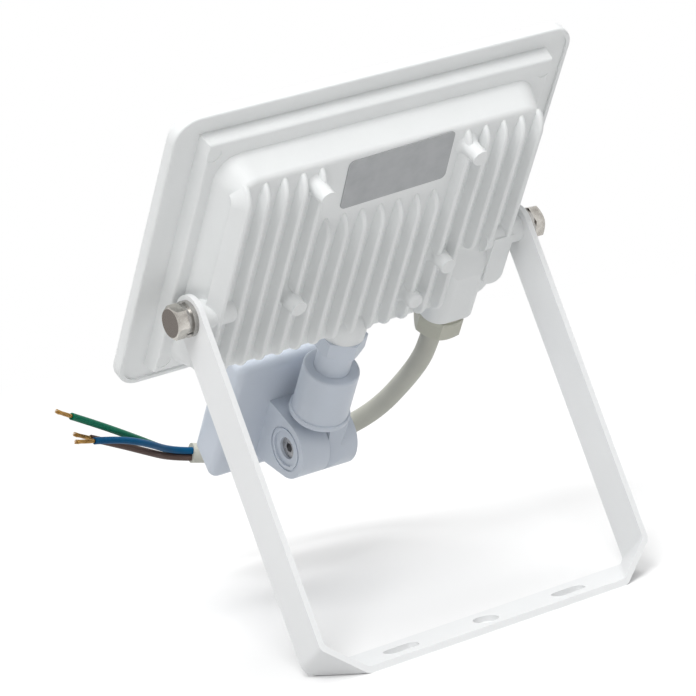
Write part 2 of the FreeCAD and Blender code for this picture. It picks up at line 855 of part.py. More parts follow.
def bracket():
    half = strip_width / 2
    over_end = block((-bracket_reach, bracket_reach), (0, strip_width), (-half, half))
    round_end = rod(strip_width, point(-bracket_reach, 0, 0), X_AXIS, 2 * bracket_reach)
    hole = rod(bolt_dia + 2 * pivot_gap, point(-bracket_reach, 0, 0), X_AXIS, 2 * bracket_reach)
    strip = on_bracket(folded_strip().cut(over_end.cut(round_end)).cut(hole))
    centre_hole = rod(centre_hole_dia, point(0, 0, -strip_thick), Z_AXIS, 3 * strip_thick)
    return strip.cut([slot(-slot_spacing / 2), slot(slot_spacing / 2), centre_hole])


# Cable gland

def gland_body():
    collar = rod(gland_collar_dia, point(gland_x, gland_back, gland_end - gland_collar), Z_AXIS, gland_collar)
    thread = rod(gland_thread_dia, point(gland_x, gland_back, gland_end), Z_AXIS, gland_thread)
    bore = rod(cable_dia, point(gland_x, gland_back, gland_end - gland_collar), Z_AXIS, gland_collar + gland_thread)
    return fuse_all([collar, thread]).cut(bore)


def gland_nut_body():
    """Round flange with a hexagon below it."""
    down = point(0, 0, -1)
    start = point(gland_x, gland_back, gland_end - gland_collar)
    flange = rod(gland_flange_dia, start, down, gland_flange)
    flange = flange.makeFillet(gland_flange_round, [edge for edge in flange.Edges if edge.BoundBox.ZLength < seal_gap])
    grip = domed_hexagon(gland_nut_flats, start, down, gland_nut, gland_nut_round)
    bore = rod(cable_dia + 2 * gland_seal_wall + 2 * seal_gap, start, down, gland_nut)
    return fuse_all([flange, grip]).cut(bore)


def gland_seal():
    start = point(gland_x, gland_back, gland_exit)
    return rod(cable_dia + 2 * gland_seal_wall, start, Z_AXIS, gland_nut)


# Swivel

def sensor_neck():
    """Hollow threaded neck with a flange at its lower end, caught in the socket."""
    low = socket_top - neck_tail
    stem = rod(neck_dia, point(0, 0, low), Z_AXIS, boss_end + neck_seat - low)
    flange = rod(neck_flange_dia, point(0, 0, low), Z_AXIS, neck_flange)
    bore = rod(neck_bore, point(0, 0, low), Z_AXIS, boss_end + neck_seat - low)
    return fuse_all([stem, flange]).cut(bore)


def sensor_nut():
    start = point(0, 0, boss_end)
    nut = domed_hexagon(neck_nut_flats, start, point(0, 0, -1), neck_nut, neck_nut_round, neck_nut_turn)
    return nut.cut(rod(neck_dia + 2 * thread_gap, start, point(0, 0, -1), neck_nut))


def ear_facet():
    """Slanted cut at the back of the right ear, deepest at the top beside the split."""
    reach = socket_length
    cut = block((-reach, reach), (-reach, 0), (-reach, reach))
    cut.rotate(point(0, 0, 0), X_AXIS, -ear_facet_lean)
    cut.rotate(point(0, 0, 0), Z_AXIS, -ear_facet_turn)
    cut.translate(point(ear_split, ear_facet_depth - knuckle_radius, knuckle_height))
    return cut


def swivel_socket():
    body = rod(socket_dia, point(0, 0, socket_end), Z_AXIS, socket_length)
    rim = [edge for edge in body.Edges if edge.BoundBox.ZMin > socket_top - socket_top_round]
    body = body.makeFillet(socket_top_round, rim)
    flange = rod(socket_flange_dia, point(0, 0, socket_end - socket_flange), Z_AXIS, socket_flange)
    outer = [edge for edge in flange.Edges if edge.BoundBox.ZLength < socket_flange_round]
    flange = flange.makeFillet(socket_flange_round, outer)
    ear = rod(2 * knuckle_radius, point(ear_split, 0, knuckle_height), X_AXIS, right_ear)
    root = block((ear_split, ear_split + right_ear), (-right_ear_root / 2, right_ear_root / 2),
                 (knuckle_height, socket_end - socket_flange))
    root = root.common(rod(socket_flange_dia, point(0, 0, knuckle_height), Z_AXIS, knuckle_drop))
    body = fuse_all([body, flange, fuse_all([ear, root]).cut(ear_facet())])
    low = socket_top - neck_tail - neck_flange / 2
    bore = rod(neck_dia + 2 * swivel_gap, point(0, 0, low), Z_AXIS, socket_top - low)
    catch = rod(neck_flange_dia + 2 * swivel_gap, point(0, 0, low), Z_AXIS, neck_flange / 2 + neck_flange + swivel_gap)
    screw_hole = rod(knuckle_screw_dia + 2 * pivot_gap, point(0, 0, knuckle_height), X_AXIS, left_ear + right_ear)
    nut_seat = ear_split + right_ear - knuckle_nut - knuckle_nut_sink
    pocket = hexagon(knuckle_nut_flats + 2 * nut_gap, point(nut_seat, 0, knuckle_height), X_AXIS, left_ear)
    return body.cut([bore, catch, screw_hole, pocket])


def knuckle_screw():
    seat = ear_split - left_ear + knuckle_head_sink + knuckle_head
    end = ear_split + right_ear - knuckle_nut_sink
    shank = rod(knuckle_screw_dia, point(seat, 0, knuckle_height), X_AXIS, end - seat)
    head = rod(knuckle_head_dia, point(seat - knuckle_head, 0, knuckle_height), X_AXIS, knuckle_head)
    socket = hexagon(knuckle_hex, point(seat - knuckle_head, 0, knuckle_height), X_AXIS, knuckle_hex_depth)
    return fuse_all([shank, head]).cut(socket)


def knuckle_nut_body():
    seat = ear_split + right_ear - knuckle_nut - knuckle_nut_sink
    nut = hexagon(knuckle_nut_flats, point(seat, 0, knuckle_height), X_AXIS, knuckle_nut)
    return nut.cut(rod(knuckle_screw_dia + 2 * thread_gap, point(seat, 0, knuckle_height), X_AXIS, knuckle_nut))


# Sensor housing, with depths from its rear face and heights from the knuckle

def sensor_corners(inset):
    rear, front = sensor_rear + inset, sensor_rear + sensor_depth - inset
    high = knuckle_height + sensor_top - inset
    slope = (sensor_rear_low - sensor_front_low) / sensor_depth
    lower = inset * math.sqrt(1 + slope * slope)

    def low(depth):
        return knuckle_height - sensor_rear_low + slope * (depth - sensor_rear) + lower

    return [(rear, high), (front, high), (front, low(front)), (rear, low(rear))]


def sensor_solid(inset, rounding):
    """Sensor box drawn in from its outer faces by the inset, with every edge rounded."""
    corners = sensor_corners(inset)
    sides = (-sensor_left + inset, sensor_right - inset)
    spots = [(corners[i], corners[(i + 1) % 4]) for i in range(4)]
    body = side_profile(sides, spots)
    return body.makeFillet(rounding, body.Edges)


def behind_split(keep_rear):
    split = sensor_rear + sensor_split
    reach = sensor_left + sensor_right
    depth = (sensor_rear - reach, split) if keep_rear else (split, split + reach)
    return block((-reach, reach), depth, (knuckle_height - reach, knuckle_height + reach))


def left_ear_solid():
    """Plate from the knuckle to the sensor box, level above and sloped below."""
    radius = knuckle_radius
    sides = (ear_split - left_ear, ear_split - ear_gap)
    reach = sensor_rear + sensor_wall / 2
    foot = ear_low
    distance = math.hypot(reach, foot)
    toward = math.atan2(-foot, reach)
    touch = toward - math.acos(radius / distance)
    tangent = (radius * math.cos(touch), knuckle_height + radius * math.sin(touch))
    half_turn = (math.pi / 2 + touch + 2 * math.pi) / 2
    middle = (radius * math.cos(half_turn), knuckle_height + radius * math.sin(half_turn))
    return side_profile(sides, [
        ((0, knuckle_height + radius), middle, tangent),
        (tangent, (reach, knuckle_height - foot)),
        ((reach, knuckle_height - foot), (reach, knuckle_height + radius)),
        ((reach, knuckle_height + radius), (0, knuckle_height + radius)),
    ])


def ear_cuts():
    face = ear_split - left_ear
    groove = ring(ear_groove_dia, ear_groove_dia - 2 * ear_groove_width, point(face, 0, knuckle_height), X_AXIS,
                  ear_groove_depth)
    step = rod(ear_step_dia, point(face, 0, knuckle_height), X_AXIS, ear_step)
    seat = knuckle_head_sink + knuckle_head
    recess = rod(knuckle_head_dia + 2 * nut_gap, point(face, 0, knuckle_height), X_AXIS, seat)
    hole = rod(knuckle_screw_dia + 2 * pivot_gap, point(face, 0, knuckle_height), X_AXIS, left_ear)
    return [groove, step, recess, hole]


def post_spots():
    corners = sensor_corners(sensor_wall)
    low, high = corners[2][1] + post_inset, corners[0][1] - post_inset
    return [(x, z) for x in (-sensor_left + sensor_wall + post_inset, sensor_right - sensor_wall - post_inset)
            for z in (low, high)]


def sensor_shell():
    rear = sensor_solid(0, sensor_round).common(behind_split(True))
    body = rear.fuse(left_ear_solid()).removeSplitter()
    body = body.cut(sensor_solid(sensor_wall, sensor_wall / 2))
    floor = sensor_rear + sensor_wall
    posts = [rod(post_dia, point(x, floor, z), Y_AXIS, post_length) for x, z in post_spots()]
    return fuse_all([body] + posts).cut(ear_cuts())


def window_middle():
    return (sensor_right - sensor_left) / 2, knuckle_height + window_rise


def window_slab(grow, levels):
    x, z = window_middle()
    return rounded_slab(window_width + 2 * grow, window_height + 2 * grow, window_corner + grow, levels, x, z)


def knob_normal():
    slope = math.atan2(sensor_rear_low - sensor_front_low, sensor_depth)
    return point(0, math.sin(slope), -math.cos(slope))


def knob_seat(count):
    """Middle of one knob on the sloped underside."""
    slope = (sensor_rear_low - sensor_front_low) / sensor_depth
    height = knuckle_height - sensor_rear_low + slope * knob_forward
    return point(knob_middle + count * knob_pitch, sensor_rear + knob_forward, height)


def sensor_cover():
    front = sensor_rear + sensor_depth
    body = sensor_solid(0, sensor_round).common(behind_split(False))
    body = body.cut(sensor_solid(sensor_wall, sensor_wall / 2))
    body = body.cut(window_slab(0, (front - 2 * sensor_wall, front + 1)))
    inward = knob_normal() * -1
    for count in (-1, 0, 1):
        start = knob_seat(count) - inward
        body = body.cut(rod(knob_dia + 2 * knob_gap, start, inward, 3 * sensor_wall))
    return body


def sensor_lens():
    """Bulged lens with a flange behind the window of the cover."""
    front = sensor_rear + sensor_depth
    x, z = window_middle()
    seat = front - sensor_wall
    flange = window_slab(lens_seat, (seat - lens_wall, seat))
    stem = window_slab(-lens_gap, (seat, front))
    reach = (window_width / 2 - lens_gap) - window_corner / 2
    radius = (reach * reach + lens_bulge * lens_bulge) / (2 * lens_bulge)
    middle = point(x, front + lens_bulge - radius, z)
    tall = window_slab(-lens_gap, (front, front + 2 * lens_bulge))
    dome = tall.common(Part.makeSphere(radius, middle))
    hollow = window_slab(-lens_gap - lens_wall, (seat - lens_wall, front + 2 * lens_bulge))
    hollow = hollow.common(Part.makeSphere(radius - lens_wall, middle))
    return fuse_all([flange, stem, dome]).cut(hollow)


def board_level():
    return sensor_rear + sensor_wall + post_length


def sensor_board():
    """Board on the posts of the shell."""
    level = board_level()
    corners = sensor_corners(sensor_wall + sensor_board_gap)
    low, high = corners[2][1], corners[0][1]
    width = sensor_left + sensor_right - 2 * sensor_wall - 2 * sensor_board_gap
    x = (sensor_right - sensor_left) / 2
    return rounded_slab(width, high - low, sensor_wall, (level, level + sensor_board_thick), x, (low + high) / 2)


def pir_element():
    x, z = window_middle()
    level = board_level() + sensor_board_thick
    base = rod(pir_base_dia, point(x, level, z), Y_AXIS, pir_base)
    return fuse_all([base, rod(pir_dia, point(x, level, z), Y_AXIS, pir_height)])


def relay():
    level = board_level() + sensor_board_thick
    z = knuckle_height + relay_z
    return block((relay_x - relay_width / 2, relay_x + relay_width / 2), (level, level + relay_depth),
                 (z - relay_height / 2, z + relay_height / 2))


def knob(count):
    """Slotted knob in the underside, with a short stem inside."""
    inward = knob_normal() * -1
    start = knob_seat(count) - inward * knob_proud
    disc = rod(knob_dia, start, inward, knob_height)
    stem = rod(knob_stem_dia, start + inward * knob_height, inward, knob_stem)
    across = knob_dia / 2 + knob_gap
    groove = block((-across, across), (-knob_slot / 2, knob_slot / 2), (0, knob_slot_depth))
    groove.rotate(point(0, 0, 0), X_AXIS, math.degrees(math.atan2(-inward.y, inward.z)))
    groove.translate(start)
    return fuse_all([disc, stem]).cut(groove)


# Mains cable: straight runs joined by arcs, as large as the runs allow

sheath_route = [
    (gland_x - cable_lean, gland_back, gland_exit),
    (44.5, 3.7, -50.3),
    (45.8, 6.2, -60.0),
    (46.9, 11.5, -74.2),
    (46.9, 19.1, -92.8),
    (42.4, 25.3, -105.6),
    (32.2, 31.1, -115.2),
    (18.9, 35.5, -119.0),
    (8.0, 37.4, -118.2),
    (-3.2, 39.3, -116.6),
    (-12.8, 42.4, -116.0),
]
core_routes = {
    "green": [(-32.2, 45.6, -106.6), (-42.7, 45.0, -98.8), (-55.3, 45.0, -90.1), (-66.9, 45.0, -82.5)],
    "blue": [(-34.4, 40.8, -102.6), (-46.7, 41.0, -96.5), (-58.0, 41.0, -93.4)],
    "brown": [(-33.4, 42.2, -108.0), (-44.6, 44.1, -102.5), (-56.8, 44.6, -95.8)],
}
core_angles = {"green": 257.0, "blue": 17.0, "brown": 137.0}


def tube(route, diameter, name):
    """Round cable along a route, with an arc inside each point where the route turns."""
    spots = [point(*spot) for spot in route]
    edges, radii, start = [], [], spots[0]
    for before, spot, after in zip(spots, spots[1:], spots[2:]):
        reach = bend_share * min((before - spot).Length, (after - spot).Length)
        enter, middle, leave, radius = rounded_turn(before, spot, after, reach)
        edges.append(Part.LineSegment(start, enter).toShape())
        edges.append(Part.Arc(enter, middle, leave).toShape())
        radii.append(round(radius, 1))
        start = leave
    edges.append(Part.LineSegment(start, spots[-1]).toShape())
    path = Part.Wire(edges)
    section = Part.Wire(Part.makeCircle(diameter / 2, spots[0], spots[1] - spots[0]))
    body = path.makePipeShell([section], True, False)
    expected = math.pi * diameter * diameter / 4 * path.Length
    print(name, "radii", radii, "length", round(path.Length, 1), "volume share", round(body.Volume / expected, 4))
    return body


def sheath_end_frame():
    last, before = point(*sheath_route[-1]), point(*sheath_route[-2])
    along = (last - before).normalize()
    above = Y_AXIS.cross(along).normalize()
    return last, along, above, above.cross(along)


def core_start(colour):
    """Where one core leaves the end face of the sheath, and a point straight out of it."""
    last, along, above, behind = sheath_end_frame()
    angle = math.radians(core_angles[colour])
    offset = above * (core_offset * math.cos(angle)) + behind * (core_offset * math.sin(angle))
    return [tuple(last + offset), tuple(last + offset + along * core_straight)]


def core(colour):
    return tube(core_start(colour) + core_routes[colour], core_dia, "core_" + colour)


def core_ends():
    ends = []
    for route in core_routes.values():
        last, before = point(*route[-1]), point(*route[-2])
        ends.append(rod(copper_dia, last, (last - before).normalize(), copper_length))
    return Part.makeCompound(ends)


def main():
    os.makedirs("parts", exist_ok=True)
    save("bracket", bracket())
    head_nodes = {
        "rear_housing": rear_housing,
        "front_glass": front_glass,
        "glass_gasket": glass_gasket,
        "reflector": reflector,
        "led_board": led_board,
        "leds": leds,
        "board_screws": board_screws,
        "label_plate": label_plate,
        "pivot_bolts": pivot_bolts,
        "flat_washers": flat_washers,
        "spring_washers": spring_washers,
        "gland_body": gland_body,
        "gland_nut": gland_nut_body,
        "gland_seal": gland_seal,
        "mains_cord": lambda: tube(sheath_route, cable_dia, "mains_cord"),
        "core_green": lambda: core("green"),
        "core_blue": lambda: core("blue"),
        "core_brown": lambda: core("brown"),
        "core_ends": core_ends,
    }
    neck_nodes = {
        "sensor_neck": sensor_neck,
        "sensor_nut": sensor_nut,
        "swivel_socket": swivel_socket,
        "knuckle_screw": knuckle_screw,
        "knuckle_nut": knuckle_nut_body,
        "sensor_shell": sensor_shell,
        "sensor_cover": sensor_cover,
        "sensor_lens": sensor_lens,
        "sensor_board": sensor_board,
        "pir_element": pir_element,
        "relay": relay,
        "knob_time": lambda: knob(-1),
        "knob_lux": lambda: knob(0),
        "knob_sens": lambda: knob(1),
    }
    for name, make in head_nodes.items():
        save(name, on_head(make()))
    for name, make in neck_nodes.items():
        save(name, on_head(on_neck(make())))


main()
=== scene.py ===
import bpy
import bmesh
import json
import math
from mathutils import Matrix, Vector


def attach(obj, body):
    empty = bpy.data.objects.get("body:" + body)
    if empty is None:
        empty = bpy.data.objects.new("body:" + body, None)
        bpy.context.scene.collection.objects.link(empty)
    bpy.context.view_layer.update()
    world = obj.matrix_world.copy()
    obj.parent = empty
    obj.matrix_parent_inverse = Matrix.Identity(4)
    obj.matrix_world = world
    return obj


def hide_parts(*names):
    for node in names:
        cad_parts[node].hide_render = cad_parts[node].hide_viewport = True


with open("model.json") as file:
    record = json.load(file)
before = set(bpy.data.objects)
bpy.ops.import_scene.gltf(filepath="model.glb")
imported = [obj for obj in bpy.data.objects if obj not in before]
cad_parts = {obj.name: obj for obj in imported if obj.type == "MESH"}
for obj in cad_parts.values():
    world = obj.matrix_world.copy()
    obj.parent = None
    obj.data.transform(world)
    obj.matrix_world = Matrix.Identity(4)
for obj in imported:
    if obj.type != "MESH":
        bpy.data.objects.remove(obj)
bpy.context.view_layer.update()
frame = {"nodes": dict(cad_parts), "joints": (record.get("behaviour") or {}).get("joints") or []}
nodes = frame["nodes"]
mm = 0.001

headTilt = next(joint for joint in frame["joints"] if joint["name"] == "head_tilt")
head = {
    "pivot": Vector(headTilt["pos_m"]),
    "restAngle": math.radians(36.2),  # how far the lamp leans back from upright
}


def fromHead(x, y, z):
    # upright head, millimetres from the tilt axis, to the scene at rest
    turned = Matrix.Rotation(head["restAngle"], 3, "X") @ Vector((x, y, z))
    return turned * mm + head["pivot"]


def addObject(name, data):
    made = bpy.data.objects.new(name, data)
    bpy.context.scene.collection.objects.link(made)
    return made


print("stage: frame loaded,", len(nodes), "nodes")

# Camera at the photograph's place
camera = {
    "place": (-0.7400, -1.0791, 0.3586),
    "turn": (78.561, 8.874, -34.906),
    "lens": 216.85,
    "sensor": 36.0,
    "clip": (0.05, 60.0),
}


def placeCamera():
    data = bpy.data.cameras.new("camera")
    data.lens = camera["lens"]
    data.sensor_width = camera["sensor"]
    data.clip_start, data.clip_end = camera["clip"]
    viewer = addObject("camera", data)
    viewer.location = camera["place"]
    viewer.rotation_euler = [math.radians(angle) for angle in camera["turn"]]
    bpy.context.scene.camera = viewer


placeCamera()
bpy.context.scene.view_settings.view_transform = "Standard"

# Node helpers


class Shade:
    # one material or group tree, with short calls for its nodes
    def __init__(self, tree):
        self.tree = tree

    def node(self, kind, values=None, **settings):
        made = self.tree.nodes.new(kind)
        for key, value in settings.items():
            setattr(made, key, value)
        for key, value in (values or {}).items():
            if isinstance(value, bpy.types.NodeSocket):
                self.tree.links.new(value, made.inputs[key])
            else:
                made.inputs[key].default_value = value
        return made

    def link(self, source, target):
        self.tree.links.new(source, target)

    def place(self):
        return self.node("ShaderNodeTexCoord").outputs["Object"]

    def noise(self, place, scale, detail, roughness):
        values = {"Vector": place, "Scale": scale, "Detail": detail, "Roughness": roughness}
        return self.node("ShaderNodeTexNoise", values).outputs["Fac"]

    def math(self, operation, first, second=0.0):
        made = self.node("ShaderNodeMath", operation=operation)
        for index, value in enumerate((first, second)):
            if isinstance(value, bpy.types.NodeSocket):
                self.link(value, made.inputs[index])
            else:
                made.inputs[index].default_value = value
        return made.outputs[0]

    def ramp(self, value, low, high):
        # 0 at the low value, 1 at the high one
        made = self.node("ShaderNodeMapRange", {"Value": value, "From Min": low, "From Max": high})
        return made.outputs[0]

    def vary(self, base, texture, amount):
        # the base value, moved up or down by a texture about its middle
        return self.math("ADD", base, self.math("MULTIPLY", self.math("SUBTRACT", texture, 0.5), amount))

    def mix(self, factor, first, second):
        made = self.node("ShaderNodeMix", data_type="RGBA")
        for index, value in ((0, factor), (6, first), (7, second)):
            if isinstance(value, bpy.types.NodeSocket):
                self.link(value, made.inputs[index])
            else:
                made.inputs[index].default_value = value
        return made.outputs[2]


def newGroup(name, inputs, outputs):
    group = bpy.data.node_groups.new(name, "ShaderNodeTree")
    for label, kind, value in inputs:
        socket = group.interface.new_socket(label, in_out="INPUT", socket_type=kind)
        socket.default_value = value
    for label, kind in outputs:
        group.interface.new_socket(label, in_out="OUTPUT", socket_type=kind)
    shade = Shade(group)
    entry = shade.node("NodeGroupInput")
    leave = shade.node("NodeGroupOutput")
    return group, shade, entry.outputs, leave.inputs


grainOutputs = [("Colour", "NodeSocketColor"), ("Roughness", "NodeSocketFloat"), ("Height", "NodeSocketFloat")]

coatValues = {
    "cloudScale": 45.0,
    "cloudEdges": (0.35, 0.8),
    "sheenDrift": 0.18,
}


def buildCoatGroup():
    # powder coat: soft orange peel, fine grit and faint clouding
    group, shade, given, out = newGroup("coatGrain", [
        ("Colour", "NodeSocketColor", (0.8, 0.8, 0.8, 1)),
        ("Shadow", "NodeSocketColor", (0.7, 0.7, 0.7, 1)),
        ("Peel Scale", "NodeSocketFloat", 900.0),
        ("Grit Scale", "NodeSocketFloat", 5200.0),
        ("Grit", "NodeSocketFloat", 0.3),
        ("Roughness", "NodeSocketFloat", 0.5),
    ], grainOutputs)
    place = shade.place()
    peel = shade.noise(place, given["Peel Scale"], detail=2.0, roughness=0.4)
    grit = shade.noise(place, given["Grit Scale"], detail=2.0, roughness=0.7)
    cloud = shade.noise(place, coatValues["cloudScale"], detail=4.0, roughness=0.6)
    mask = shade.ramp(cloud, *coatValues["cloudEdges"])
    shade.link(shade.mix(mask, given["Colour"], given["Shadow"]), out["Colour"])
    shade.link(shade.vary(given["Roughness"], peel, coatValues["sheenDrift"]), out["Roughness"])
    shade.link(shade.math("ADD", peel, shade.math("MULTIPLY", grit, given["Grit"])), out["Height"])
    return group


mouldValues = {
    "driftScale": 60.0,
    "driftEdges": (0.35, 0.75),
    "sheenDrift": 0.2,
}


def buildMouldGroup():
    # moulded plastic: fine spark texture and slight tone drift
    group, shade, given, out = newGroup("mouldGrain", [
        ("Colour", "NodeSocketColor", (0.8, 0.8, 0.8, 1)),
        ("Drift", "NodeSocketColor", (0.7, 0.7, 0.7, 1)),
        ("Scale", "NodeSocketFloat", 2600.0),
        ("Roughness", "NodeSocketFloat", 0.4),
    ], grainOutputs)
    place = shade.place()
    fine = shade.noise(place, given["Scale"], detail=3.0, roughness=0.6)
    broad = shade.noise(place, mouldValues["driftScale"], detail=3.0, roughness=0.5)
    mask = shade.ramp(broad, *mouldValues["driftEdges"])
    shade.link(shade.mix(mask, given["Colour"], given["Drift"]), out["Colour"])
    shade.link(shade.vary(given["Roughness"], broad, mouldValues["sheenDrift"]), out["Roughness"])
    shade.link(fine, out["Height"])
    return group


metalValues = {
    "patchScale": 160.0,
    "patchEdges": (0.4, 0.75),
    "sheenDrift": 0.3,
}


def buildMetalGroup():
    # turned or rolled metal: long fine streaks with dull patches
    group, shade, given, out = newGroup("metalGrain", [
        ("Colour", "NodeSocketColor", (0.7, 0.7, 0.7, 1)),
        ("Dull", "NodeSocketColor", (0.5, 0.5, 0.5, 1)),
        ("Stretch", "NodeSocketVector", (40.0, 900.0, 900.0)),
        ("Roughness", "NodeSocketFloat", 0.3),
    ], grainOutputs)
    place = shade.place()
    spread = shade.node("ShaderNodeVectorMath", {0: place, 1: given["Stretch"]}, operation="MULTIPLY").outputs[0]
    streak = shade.noise(spread, 1.0, detail=4.0, roughness=0.65)
    patch = shade.noise(place, metalValues["patchScale"], detail=3.0, roughness=0.6)
    mask = shade.ramp(patch, *metalValues["patchEdges"])
    shade.link(shade.mix(mask, given["Colour"], given["Dull"]), out["Colour"])
    shade.link(shade.vary(given["Roughness"], streak, metalValues["sheenDrift"]), out["Roughness"])
    shade.link(streak, out["Height"])
    return group


coatGrain = buildCoatGroup()
mouldGrain = buildMouldGroup()
metalGrain = buildMetalGroup()


def colour(red, green, blue):
    return (red, green, blue, 1.0)


def makeMaterial(name, group, given, bump, shader):
    # one Principled shader fed by a grain group, with a bump of its height
    material = bpy.data.materials.new(name)
    material.use_nodes = True
    shade = Shade(material.node_tree)
    principled = material.node_tree.nodes["Principled BSDF"]
    grain = shade.node("ShaderNodeGroup", node_tree=group)
    for key, value in given.items():
        grain.inputs[key].default_value = value
    shade.link(grain.outputs["Colour"], principled.inputs["Base Color"])
    shade.link(grain.outputs["Roughness"], principled.inputs["Roughness"])
    relief = shade.node("ShaderNodeBump", {"Strength": bump["strength"], "Distance": bump["distance"],
                                           "Height": grain.outputs["Height"]})
    shade.link(relief.outputs["Normal"], principled.inputs["Normal"])
    for key, value in shader.items():
        principled.inputs[key].default_value = value
    return material


housingCoat = makeMaterial("housingCoat", coatGrain, {
    "Colour": colour(0.83, 0.845, 0.845), "Shadow": colour(0.80, 0.815, 0.815),
    "Peel Scale": 700.0, "Grit Scale": 3800.0, "Grit": 0.6, "Roughness": 0.46,
}, {"strength": 0.35, "distance": 0.00012}, {"Specular IOR Level": 0.45})

bracketCoat = makeMaterial("bracketCoat", coatGrain, {
    "Colour": colour(0.86, 0.87, 0.875), "Shadow": colour(0.835, 0.845, 0.85),
    "Peel Scale": 520.0, "Grit Scale": 4200.0, "Grit": 0.25, "Roughness": 0.36,
}, {"strength": 0.25, "distance": 0.0001}, {"Specular IOR Level": 0.5})

sensorPlastic = makeMaterial("sensorPlastic", mouldGrain, {
    "Colour": colour(0.62, 0.67, 0.745), "Drift": colour(0.585, 0.635, 0.71), "Scale": 2400.0, "Roughness": 0.38,
}, {"strength": 0.15, "distance": 0.00006}, {"Specular IOR Level": 0.5})

knobPlastic = makeMaterial("knobPlastic", mouldGrain, {
    "Colour": colour(0.66, 0.70, 0.76), "Drift": colour(0.62, 0.66, 0.72), "Scale": 3000.0, "Roughness": 0.34,
}, {"strength": 0.15, "distance": 0.00005}, {"Specular IOR Level": 0.5})

glandPlastic = makeMaterial("glandPlastic", mouldGrain, {
    "Colour": colour(0.55, 0.55, 0.47), "Drift": colour(0.50, 0.50, 0.43), "Scale": 1800.0, "Roughness": 0.42,
}, {"strength": 0.2, "distance": 0.00008}, {"Specular IOR Level": 0.5})

sheathRubber = makeMaterial("sheathRubber", mouldGrain, {
    "Colour": colour(0.52, 0.52, 0.46), "Drift": colour(0.47, 0.47, 0.42), "Scale": 900.0, "Roughness": 0.5,
}, {"strength": 0.25, "distance": 0.0001}, {"Specular IOR Level": 0.4})

sealRubber = makeMaterial("sealRubber", mouldGrain, {
    "Colour": colour(0.30, 0.30, 0.30), "Drift": colour(0.26, 0.26, 0.26), "Scale": 1200.0, "Roughness": 0.7,
}, {"strength": 0.3, "distance": 0.0001}, {"Specular IOR Level": 0.3})

boltSteel = makeMaterial("boltSteel", metalGrain, {
    "Colour": colour(0.68, 0.655, 0.61), "Dull": colour(0.30, 0.28, 0.255), "Stretch": (900.0, 900.0, 900.0),
    "Roughness": 0.24,
}, {"strength": 0.12, "distance": 0.00003}, {"Metallic": 1.0})


# painted shade on the end faces of bolt heads: its dark colour, and which faces get it
boltEndShade = {
    "colour": colour(0.17, 0.15, 0.135),
    "facing": (0.90, 0.97),  # how squarely a face looks along the bolt before it counts as its end
}


def paintBoltEndShade():
    # painted shade: the end face of a bolt head, picked by which way it faces, is painted dark, and its flats
    # keep the bright metal colour
    shade = Shade(boltSteel.node_tree)
    principled = boltSteel.node_tree.nodes["Principled BSDF"]
    bright = principled.inputs["Base Color"].links[0].from_socket
    normal = shade.node("ShaderNodeTexCoord").outputs["Normal"]
    facing = shade.node("ShaderNodeSeparateXYZ", {0: normal}).outputs["X"]
    mask = shade.ramp(shade.math("ABSOLUTE", facing), *boltEndShade["facing"])
    shade.link(shade.mix(mask, bright, boltEndShade["colour"]), principled.inputs["Base Color"])


paintBoltEndShade()

washerSteel = makeMaterial("washerSteel", metalGrain, {
    "Colour": colour(0.50, 0.49, 0.47), "Dull": colour(0.26, 0.25, 0.24), "Stretch": (2000.0, 300.0, 300.0),
    "Roughness": 0.3,
}, {"strength": 0.15, "distance": 0.00003}, {"Metallic": 1.0})

darkScrew = makeMaterial("darkScrew", metalGrain, {
    "Colour": colour(0.46, 0.46, 0.47), "Dull": colour(0.28, 0.28, 0.29), "Stretch": (900.0, 900.0, 900.0),
    "Roughness": 0.3,
}, {"strength": 0.12, "distance": 0.00003}, {"Metallic": 0.85})

canSteel = makeMaterial("canSteel", metalGrain, {
    "Colour": colour(0.66, 0.66, 0.68), "Dull": colour(0.52, 0.52, 0.54), "Stretch": (300.0, 2000.0, 300.0),
    "Roughness": 0.22,
}, {"strength": 0.1, "distance": 0.00003}, {"Metallic": 1.0})

labelFilm = makeMaterial("labelFilm", metalGrain, {
    "Colour": colour(0.42, 0.43, 0.44), "Dull": colour(0.37, 0.38, 0.39), "Stretch": (30.0, 1400.0, 1400.0),
    "Roughness": 0.42,
}, {"strength": 0.1, "distance": 0.00002}, {"Metallic": 0.35})

reflectorWhite = makeMaterial("reflectorWhite", mouldGrain, {
    "Colour": colour(0.86, 0.86, 0.85), "Drift": colour(0.83, 0.83, 0.82), "Scale": 1500.0, "Roughness": 0.35,
}, {"strength": 0.1, "distance": 0.00005}, {"Specular IOR Level": 0.5})

boardMask = makeMaterial("boardMask", mouldGrain, {
    "Colour": colour(0.80, 0.80, 0.76), "Drift": colour(0.76, 0.76, 0.72), "Scale": 800.0, "Roughness": 0.45,
}, {"strength": 0.1, "distance": 0.00005}, {"Specular IOR Level": 0.4})

phosphor = makeMaterial("phosphor", mouldGrain, {
    "Colour": colour(0.78, 0.52, 0.08), "Drift": colour(0.72, 0.45, 0.06), "Scale": 3000.0, "Roughness": 0.4,
}, {"strength": 0.15, "distance": 0.00005}, {"Specular IOR Level": 0.5})

greenBoard = makeMaterial("greenBoard", mouldGrain, {
    "Colour": colour(0.02, 0.16, 0.06), "Drift": colour(0.015, 0.12, 0.05), "Scale": 900.0, "Roughness": 0.35,
}, {"strength": 0.15, "distance": 0.00005}, {"Specular IOR Level": 0.5})

relayBlack = makeMaterial("relayBlack", mouldGrain, {
    "Colour": colour(0.02, 0.02, 0.022), "Drift": colour(0.03, 0.03, 0.032), "Scale": 1500.0, "Roughness": 0.4,
}, {"strength": 0.2, "distance": 0.00006}, {"Specular IOR Level": 0.5})

